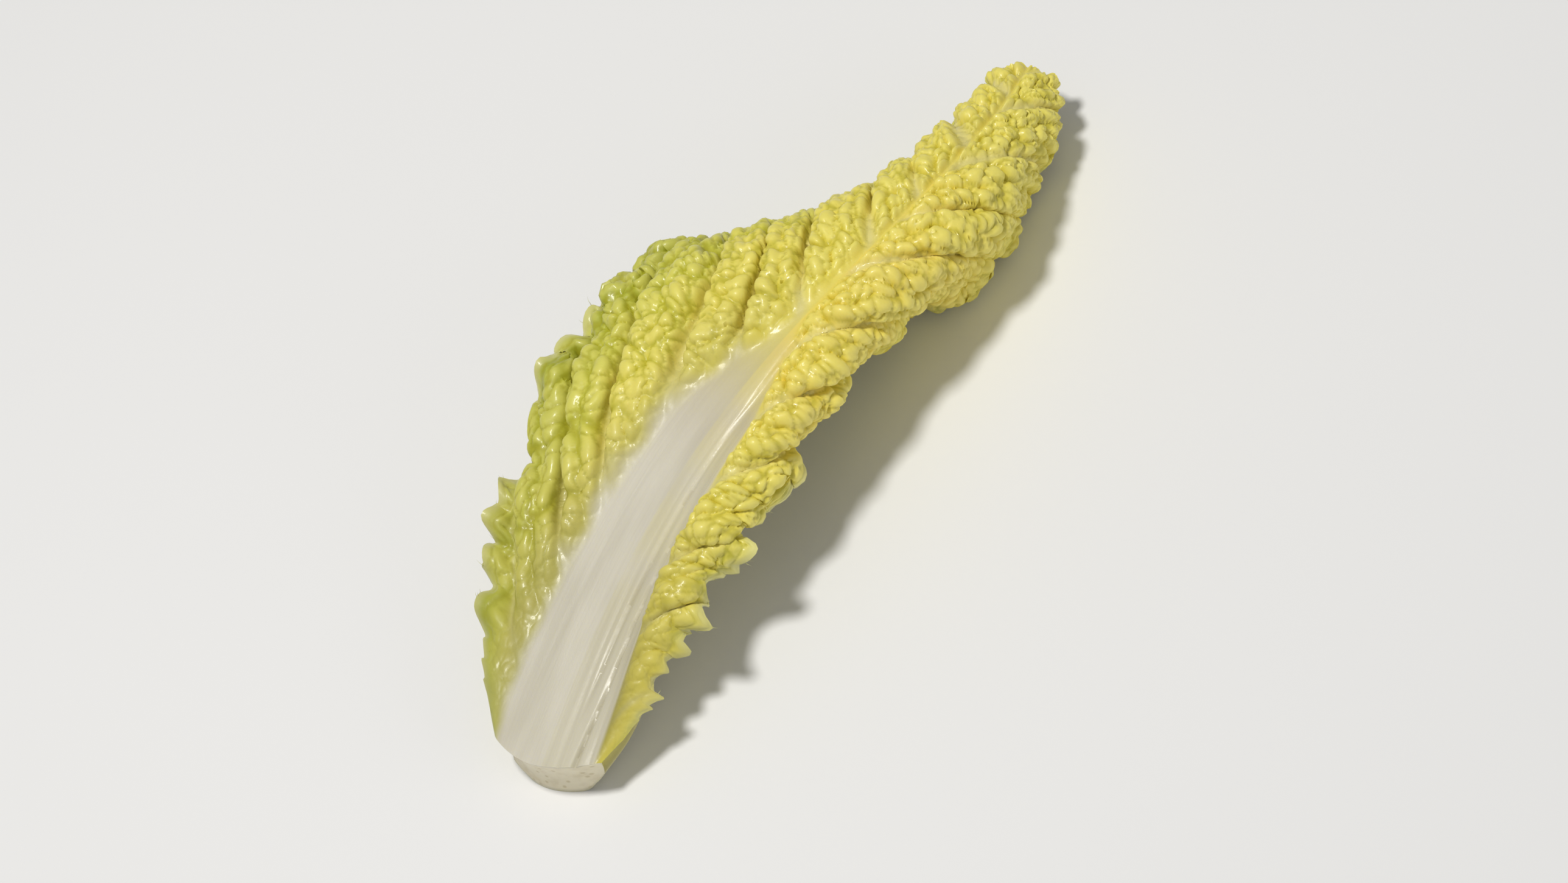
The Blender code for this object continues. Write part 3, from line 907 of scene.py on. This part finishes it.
def leaf_flesh(colours):
    """Leaf flesh: white wet midrib, yellow inner blade, green ruffled margin, pale veins."""
    n = Nodes("leaf flesh")
    flat = n.mark("flat", "Vector")
    on_rib = n.mark("on_rib")
    groove = n.mark("groove")
    under = n.mark("under")
    cut = n.mark("cut")
    patches = n.noise(flat, 0.09, 3.0, 0.55)
    specks = n.noise(flat, 0.7, 2.0, 0.6)
    place = n.put("ShaderNodeTexCoord").outputs["Object"]
    level = n.stretch(place, (1.0, 0.0, 1.0))
    level.node.inputs["Rotation"].default_value = (math.pi / 2, 0.0, 0.0)

    blade = blade_colour(n, colours, patches, specks)
    colour = n.mix(on_rib, blade, stalk_colour(n, colours, flat, groove))
    colour = n.mix(n.math("MULTIPLY", under, 0.45), colour, colours.underside)
    colour = n.mix(cut, colour, cut_colour(n, colours, level))
    n.link(colour, n.shader.inputs["Base Color"])
    n.link(skin_bump(n, flat, level, on_rib, cut), n.shader.inputs["Normal"])
    rough = n.math("MULTIPLY_ADD", on_rib, -0.04, n.span(specks, 0.25, 0.8, 0.40, 0.50))
    n.link(n.math("MULTIPLY_ADD", under, 0.16, rough), n.shader.inputs["Roughness"])
    n.link(dampness(n, patches, on_rib, under, groove), n.shader.inputs["Coat Weight"])
    n.shader.inputs["Coat Roughness"].default_value = 0.13
    n.shader.inputs["Specular IOR Level"].default_value = 0.38
    n.shader.inputs["Subsurface Weight"].default_value = 0.12
    n.shader.inputs["Subsurface Radius"].default_value = (1.0, 0.85, 0.25)
    n.shader.inputs["Subsurface Scale"].default_value = 0.0008
    return n.material


def hair_stuff(colours):
    """Pale, slightly see-through hairs, yellow-green in spots."""
    n = Nodes("leaf hair")
    place = n.put("ShaderNodeTexCoord").outputs["Object"]
    spots = n.noise(place, 900.0, 2.0, 0.5)
    n.link(n.mix(spots, colours.hair, colours.lime), n.shader.inputs["Base Color"])
    n.shader.inputs["Roughness"].default_value = 0.35
    n.shader.inputs["Subsurface Weight"].default_value = 0.2
    n.shader.inputs["Subsurface Radius"].default_value = (1.0, 0.9, 0.5)
    n.shader.inputs["Subsurface Scale"].default_value = 0.0003
    return n.material


def plain_paper(colour):
    """The floor's plain pale surface, very slightly uneven in tone."""
    n = Nodes("pale floor")
    place = n.put("ShaderNodeTexCoord").outputs["Object"]
    soft = n.noise(place, 9.0, 2.0, 0.5)
    low = tuple(0.985 * c for c in colour[:3]) + (1.0,)
    n.link(n.mix(soft, low, tuple(colour[:3]) + (1.0,)), n.shader.inputs["Base Color"])
    n.shader.inputs["Roughness"].default_value = 0.85
    n.shader.inputs["Specular IOR Level"].default_value = 0.2
    return n.material


def colour_prop(name, description, default):
    """A colour that the user can change."""
    return bpy.props.FloatVectorProperty(
        name=name, description=description, default=default, subtype="COLOR", size=4, min=0, max=1
    )


def length_prop(name, description, default):
    """A length in millimetres."""
    return bpy.props.FloatProperty(name=name, description=description, default=default, min=0)


class LeafSizes(bpy.types.PropertyGroup):
    rows: bpy.props.IntProperty(
        name="Rows", description="Steps of the lower face along the leaf", default=146, min=20
    )
    columns_left: bpy.props.IntProperty(
        name="Columns left", description="Steps left of the midrib's middle", default=37, min=8
    )
    columns_right: bpy.props.IntProperty(
        name="Columns right", description="Steps right of the midrib's middle", default=30, min=8
    )
    thickness: length_prop("Thickness", "Thickness of the blade, mm", 0.75)
    blister: length_prop("Blister", "Width of the blisters, mm", 2.8)
    blister_height: length_prop("Blister height", "Height of the blisters, mm", 0.88)
    frill: length_prop("Frill", "Height of the small waves at the margins, mm", 0.65)
    nick: length_prop("Nick", "Depth of the small teeth at the margins, mm", 1.1)
    hairs: bpy.props.IntProperty(
        name="Hairs", description="Hairs on the margins", default=150, min=0
    )
    hair_length: length_prop("Hair length", "Length of the longest hairs, mm", 1.8)


class LeafColours(bpy.types.PropertyGroup):
    gold: colour_prop("Gold", "Blade right of the midrib", (0.97, 0.78, 0.13, 1.0))
    yellow: colour_prop("Yellow", "Inner blade", (0.90, 0.78, 0.13, 1.0))
    lime: colour_prop("Lime", "Blade towards the margin", (0.65, 0.65, 0.08, 1.0))
    green: colour_prop("Green", "Margin", (0.36, 0.42, 0.03, 1.0))
    # painted highlight: paler tops of the blisters where the light falls on them
    blister_top_highlight: colour_prop("Crown", "Tops of the blisters", (0.95, 0.86, 0.25, 1.0))
    # painted shade in the creases between the blisters
    crease_shade: colour_prop("Fold", "Creases between the blisters", (0.50, 0.44, 0.02, 1.0))
    vein: colour_prop("Vein", "Side veins", (0.72, 0.66, 0.33, 1.0))
    rim: colour_prop("Rim", "Thin rims of the teeth", (0.84, 0.80, 0.40, 1.0))
    pale_green: colour_prop("Pale green", "Blade beside the stalk", (0.50, 0.48, 0.16, 1.0))
    wing: colour_prop("Wing", "Thin wing beside the stalk", (0.33, 0.29, 0.07, 1.0))
    stalk: colour_prop("Stalk", "Midrib", (0.74, 0.70, 0.59, 1.0))
    # darker fibres of the midrib, and the painted shade in its grooves
    stalk_fibre_and_groove_shade: colour_prop("Stalk shade", "Grooves of the midrib", (0.54, 0.50, 0.39, 1.0))
    stalk_top: colour_prop("Stalk top", "Upper part of the midrib", (0.53, 0.45, 0.28, 1.0))
    cut: colour_prop("Cut", "Cut face at the base", (0.92, 0.84, 0.62, 1.0))
    cut_dots: colour_prop("Cut dots", "Strands in the cut face", (0.58, 0.47, 0.24, 1.0))
    hair: colour_prop("Hair", "Hairs on the margins", (0.86, 0.84, 0.62, 1.0))
    underside: colour_prop("Underside", "Lower face", (0.66, 0.62, 0.32, 1.0))


class StageSizes(bpy.types.PropertyGroup):
    floor: bpy.props.FloatProperty(
        name="Floor", description="Side of the floor", default=6.0, unit="LENGTH"
    )
    floor_colour: colour_prop("Floor colour", "Plain pale floor", (0.94, 0.94, 0.94, 1.0))
    key_power: bpy.props.FloatProperty(
        name="Key light", description="Power of the main light in watts", default=4.0
    )
    fill_power: bpy.props.FloatProperty(
        name="Fill light", description="Power of the fill light in watts", default=0.95
    )
    sky: bpy.props.FloatProperty(name="Sky", description="Strength of the surround", default=0.24)


class ViewSizes(bpy.types.PropertyGroup):
    azimuth: bpy.props.FloatProperty(
        name="Azimuth",
        description="Direction of the camera round the leaf",
        default=math.radians(63.15),
        subtype="ANGLE",
    )
    elevation: bpy.props.FloatProperty(
        name="Elevation",
        description="Height of the camera above the floor",
        default=math.radians(52.38),
        subtype="ANGLE",
    )
    roll: bpy.props.FloatProperty(
        name="Roll",
        description="Turn of the camera about its sight line",
        default=math.radians(-28.5),
        subtype="ANGLE",
    )
    distance: bpy.props.FloatProperty(
        name="Distance", description="Camera to leaf", default=0.917, unit="LENGTH"
    )
    lens: bpy.props.FloatProperty(
        name="Lens", description="Focal length in millimetres on 36 mm", default=147.0
    )
    aim: bpy.props.FloatVectorProperty(
        name="Aim",
        description="Point in the middle of the picture",
        default=(0.0082, -0.0029, 0.0033),
        subtype="TRANSLATION",
    )


def view_axes(view):
    """Backward, right and up directions of the camera."""
    a = view.azimuth
    e = view.elevation
    r = view.roll
    back = Vector((math.sin(a) * math.cos(e), -math.cos(a) * math.cos(e), math.sin(e)))
    right = Vector((math.cos(a), math.sin(a), 0.0))
    up = back.cross(right)
    turned_right = right * math.cos(r) + up * math.sin(r)
    turned_up = up * math.cos(r) - right * math.sin(r)
    return back, turned_right, turned_up


def area_light(name, place, target, size, power, colour):
    """A round soft light at a place, turned to its target."""
    light = bpy.data.lights.new(name, "AREA")
    light.shape = "DISK"
    light.size = size
    light.energy = power
    light.color = colour
    lamp = bpy.data.objects.new(name, light)
    bpy.context.scene.collection.objects.link(lamp)
    lamp.location = place
    lamp.rotation_euler = (Vector(place) - Vector(target)).to_track_quat("Z", "Y").to_euler()


class CABBAGE_OT_stage(bpy.types.Operator):
    """Adds the pale floor, the soft lights and the camera"""

    bl_idname = "cabbage.stage"
    bl_label = "Stage"

    def execute(self, context):
        scene = context.scene
        stage = scene.cabbage_stage
        view = scene.cabbage_view
        half = stage.floor / 2
        mesh = bpy.data.meshes.new("floor")
        corners = [(-half, -half, 0), (half, -half, 0), (half, half, 0), (-half, half, 0)]
        mesh.from_pydata(corners, [], [(0, 1, 2, 3)])
        mesh.materials.append(plain_paper(stage.floor_colour))
        floor = bpy.data.objects.new("floor", mesh)
        scene.collection.objects.link(floor)

        back, right, up = view_axes(view)
        aim = Vector(view.aim)
        camera = bpy.data.cameras.new("camera")
        camera.sensor_width = SENSOR_WIDTH
        camera.lens = view.lens
        camera.clip_start = 0.01
        camera.clip_end = 20.0
        eye = bpy.data.objects.new("camera", camera)
        scene.collection.objects.link(eye)
        place = aim + back * view.distance
        axes = Matrix((right, up, back)).transposed().to_4x4()
        eye.matrix_world = Matrix.Translation(place) @ axes
        scene.camera = eye

        lights = (
            ("key light", KEY_PLACE, KEY_SIZE, stage.key_power, KEY_COLOUR),
            ("fill light", FILL_PLACE, FILL_SIZE, stage.fill_power, FILL_COLOUR),
        )
        for name, (sideways, upward, backward), size, power, colour in lights:
            lamp_place = aim + right * sideways + up * upward + back * backward
            area_light(name, lamp_place, aim, size, power, colour)

        world = bpy.data.worlds.new("surround")
        world.use_nodes = True
        sky = world.node_tree.nodes["Background"]
        sky.inputs["Color"].default_value = (1.0, 1.0, 1.0, 1.0)
        sky.inputs["Strength"].default_value = stage.sky
        scene.world = world
        scene.view_settings.view_transform = "Standard"
        return {"FINISHED"}


class CABBAGE_OT_leaf(bpy.types.Operator):
    """Adds the leaf with its midrib, veins, blisters and ruffled margins"""

    bl_idname = "cabbage.leaf"
    bl_label = "Leaf"

    def execute(self, context):
        scene = context.scene
        sizes = scene.cabbage_sizes
        mesh = leaf_mesh("cabbage_leaf", *fine_leaf(sizes))
        mesh.materials.append(leaf_flesh(scene.cabbage_colours))
        leaf = bpy.data.objects.new("cabbage_leaf", mesh)
        scene.collection.objects.link(leaf)
        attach(leaf, "root")
        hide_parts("leaf")
        return {"FINISHED"}


class CABBAGE_OT_hairs(bpy.types.Operator):
    """Adds the short stiff hairs along the leaf's margins"""

    bl_idname = "cabbage.hairs"
    bl_label = "Hairs"

    def execute(self, context):
        scene = context.scene
        sizes = scene.cabbage_sizes
        top, _, marks = fine_leaf(sizes)
        mesh = hair_mesh("cabbage_hairs", top, marks, sizes)
        mesh.materials.append(hair_stuff(scene.cabbage_colours))
        hairs = bpy.data.objects.new("cabbage_hairs", mesh)
        scene.collection.objects.link(hairs)
        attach(hairs, "root")
        return {"FINISHED"}


class CABBAGE_PT_panel(bpy.types.Panel):
    """Lists the leaf's operators and their sizes"""

    bl_idname = "CABBAGE_PT_panel"
    bl_label = "Napa cabbage leaf"
    bl_space_type = "VIEW_3D"
    bl_region_type = "UI"
    bl_category = "Leaf"

    def draw(self, context):
        layout = self.layout
        for group in (LeafSizes, LeafColours, StageSizes, ViewSizes):
            values = getattr(context.scene, GROUP_NAMES[group])
            box = layout.box()
            for key in group.__annotations__:
                box.prop(values, key)
        for step in OPERATORS:
            layout.operator(step.bl_idname)


GROUP_NAMES = {
    LeafSizes: "cabbage_sizes",
    LeafColours: "cabbage_colours",
    StageSizes: "cabbage_stage",
    ViewSizes: "cabbage_view",
}
OPERATORS = (CABBAGE_OT_stage, CABBAGE_OT_leaf, CABBAGE_OT_hairs)


def register():
    """Registers the properties, the operators and the panel."""
    for group, name in GROUP_NAMES.items():
        bpy.utils.register_class(group)
        setattr(bpy.types.Scene, name, bpy.props.PointerProperty(type=group))
    for item in (*OPERATORS, CABBAGE_PT_panel):
        bpy.utils.register_class(item)


def unregister():
    """Takes away what register added."""
    for item in (CABBAGE_PT_panel, *reversed(OPERATORS)):
        bpy.utils.unregister_class(item)
    for group, name in reversed(GROUP_NAMES.items()):
        delattr(bpy.types.Scene, name)
        bpy.utils.unregister_class(group)


def main():
    """Builds the stage, the leaf and its hairs."""
    register()
    bpy.ops.cabbage.stage()
    bpy.ops.cabbage.leaf()
    bpy.ops.cabbage.hairs()


if __name__ == "__main__":
    main()
